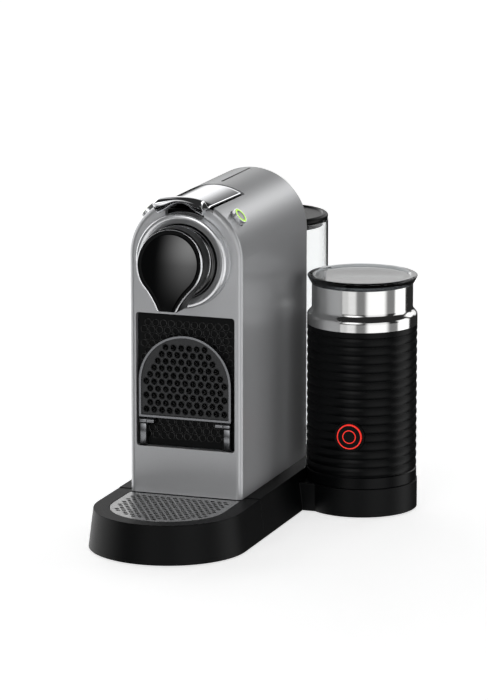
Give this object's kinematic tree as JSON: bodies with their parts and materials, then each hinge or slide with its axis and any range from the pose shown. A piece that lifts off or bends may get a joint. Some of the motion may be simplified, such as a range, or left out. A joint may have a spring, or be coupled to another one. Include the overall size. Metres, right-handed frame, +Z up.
{
  "type": "pod coffee machine",
  "caption": "Arch-topped pod coffee machine with lift lever, teardrop spout, capsule drawer, fold-up cup support, drip tray, water tank and lift-off milk frother.",
  "frame": {"origin": "middle of the bounding box at the worktop", "axes": "+X to the right in the front view, towards the frother; +Y from the front to the back; +Z up"},
  "size_m": [0.2158, 0.373, 0.2814],
  "materials": {
    "satin_silver": "satin silver paint",
    "ring_silver": "satin aluminium",
    "black_plastic": "fine matt black",
    "grip_black": "soft-sheen black",
    "black_gloss": "polished black",
    "bright_chrome": "polished chrome plate",
    "steel": "brushed stainless steel",
    "smoke_clear": "smoke-tinted clear plastic",
    "soft_rubber": "matt rubber and silicone",
    "grey_plastic": "technical grey plastic",
    "green_light": "lit green lens",
    "red_light": "lit red lens",
    "cast_alloy": "die-cast aluminium",
    "motor_metal": "zinc-plated steel",
    "board_green": "solder mask"
  },
  "bodies": {
    "machine": {"body_sleeve": "satin_silver", "front_fascia": "satin_silver", "brew_ring": "ring_silver", "base_frame": "black_plastic", "slot_well": "black_plastic", "cord_gland": "black_plastic", "dock_connector": "black_plastic", "rear_panel": "black_plastic", "base_cover": "black_plastic", "head_disc": "black_gloss", "spout_housing": "black_gloss", "spout_face": "black_gloss", "spout_trim": "bright_chrome", "extraction_plate": "steel", "lever_pin": "steel", "base_screws": "steel", "rubber_feet": "soft_rubber", "coupling_seal": "soft_rubber", "pump_mounts": "soft_rubber", "hoses": "soft_rubber", "brew_chamber": "grey_plastic", "chassis": "grey_plastic", "tank_coupling": "grey_plastic", "outlet_nozzle": "grey_plastic", "flow_meter": "grey_plastic", "button_switches": "grey_plastic", "lever_bracket": "grey_plastic", "heating_block": "cast_alloy", "pump": "motor_metal", "control_board": "board_green"},
    "lever": {"lever_plate": "bright_chrome", "lever_liner": "black_plastic"},
    "cage": {"capsule_cage": "grey_plastic", "piercing_blades": "steel"},
    "left_button": {"espresso_button": "satin_silver", "espresso_light": "green_light"},
    "right_button": {"lungo_button": "satin_silver", "lungo_light": "green_light"},
    "tray": {"drip_tray": "black_plastic"},
    "grid": {"drip_grid": "steel"},
    "drawer": {"capsule_drawer": "black_plastic", "drawer_front": "black_plastic"},
    "cup_flap": {"cup_support": "black_plastic", "cup_rim": "bright_chrome"},
    "tank": {"water_tank": "smoke_clear"},
    "tank_cap": {"tank_lid": "black_plastic"},
    "valve": {"tank_valve": "grey_plastic"},
    "frother": {"frother_grip": "grip_black", "frother_collar": "steel", "frother_jug": "steel", "frother_foot": "black_plastic", "frother_heater": "cast_alloy", "frother_motor": "motor_metal", "press_bezel": "black_plastic"},
    "frother_cap": {"frother_lid": "smoke_clear", "lid_seal": "soft_rubber"},
    "start_button": {"frother_button": "black_gloss", "frother_light": "red_light"},
    "stirrer": {"whisk": "steel"},
    "rotor": {"magnet_rotor": "motor_metal"}
  },
  "joints": [
    {"name": "lever_lift", "type": "hinge", "parent": "machine", "child": "lever", "pos_m": [-0.0429, -0.0135, 0.273], "axis": [-1, 0, 0], "range_deg": [0, 75]},
    {"name": "cage_slide", "type": "slide", "parent": "machine", "child": "cage", "axis": [0, 1, 0], "range_m": [0, 0.0221]},
    {"name": "left_button_press", "type": "slide", "parent": "machine", "child": "left_button", "axis": [0.766, 0, -0.6428], "range_m": [0, 0.0015], "stiffness_N_per_m": 400},
    {"name": "right_button_press", "type": "slide", "parent": "machine", "child": "right_button", "axis": [-0.766, 0, -0.6428], "range_m": [0, 0.0015], "stiffness_N_per_m": 400},
    {"name": "tray_pull", "type": "slide", "parent": "machine", "child": "tray", "axis": [0, -1, 0], "range_m": [0, 0.12]},
    {"name": "grid_lift", "type": "slide", "parent": "tray", "child": "grid", "axis": [0, 0, 1], "range_m": [0, 0.04]},
    {"name": "drawer_pull", "type": "slide", "parent": "machine", "child": "drawer", "axis": [0, -1, 0], "range_m": [0, 0.1]},
    {"name": "cup_flap_fold", "type": "hinge", "parent": "drawer", "child": "cup_flap", "pos_m": [-0.0429, -0.0828, 0.0935], "axis": [1, 0, 0], "range_deg": [0, 90]},
    {"name": "tank_lift", "type": "slide", "parent": "machine", "child": "tank", "axis": [0, 0, 1], "range_m": [0, 0.1]},
    {"name": "tank_cap_lift", "type": "slide", "parent": "tank", "child": "tank_cap", "axis": [0, 0, 1], "range_m": [0, 0.05]},
    {"name": "valve_open", "type": "slide", "parent": "tank", "child": "valve", "axis": [0, 0, 1], "range_m": [0, 0.003], "stiffness_N_per_m": 200},
    {"name": "frother_lift", "type": "slide", "parent": "machine", "child": "frother", "axis": [0, 0, 1], "range_m": [0, 0.08]},
    {"name": "frother_cap_lift", "type": "slide", "parent": "frother", "child": "frother_cap", "axis": [0, 0, 1], "range_m": [0, 0.05]},
    {"name": "start_press", "type": "slide", "parent": "frother", "child": "start_button", "axis": [-0.0872, 0.9962, 0], "range_m": [0, 0.001], "stiffness_N_per_m": 500},
    {"name": "rotor_spin", "type": "hinge", "parent": "frother", "child": "rotor", "pos_m": [0.0614, 0.0583, 0.057], "axis": [0, 0, 1], "continuous": true},
    {"name": "stirrer_spin", "type": "hinge", "parent": "frother", "child": "stirrer", "pos_m": [0.0614, 0.0583, 0.07], "axis": [0, 0, 1], "continuous": true}
  ],
  "couplings": [
    {"joint": "cage_slide", "follows": "lever_lift", "m_per_rad": 0.016807},
    {"joint": "stirrer_spin", "follows": "rotor_spin", "ratio": 1}
  ]
}
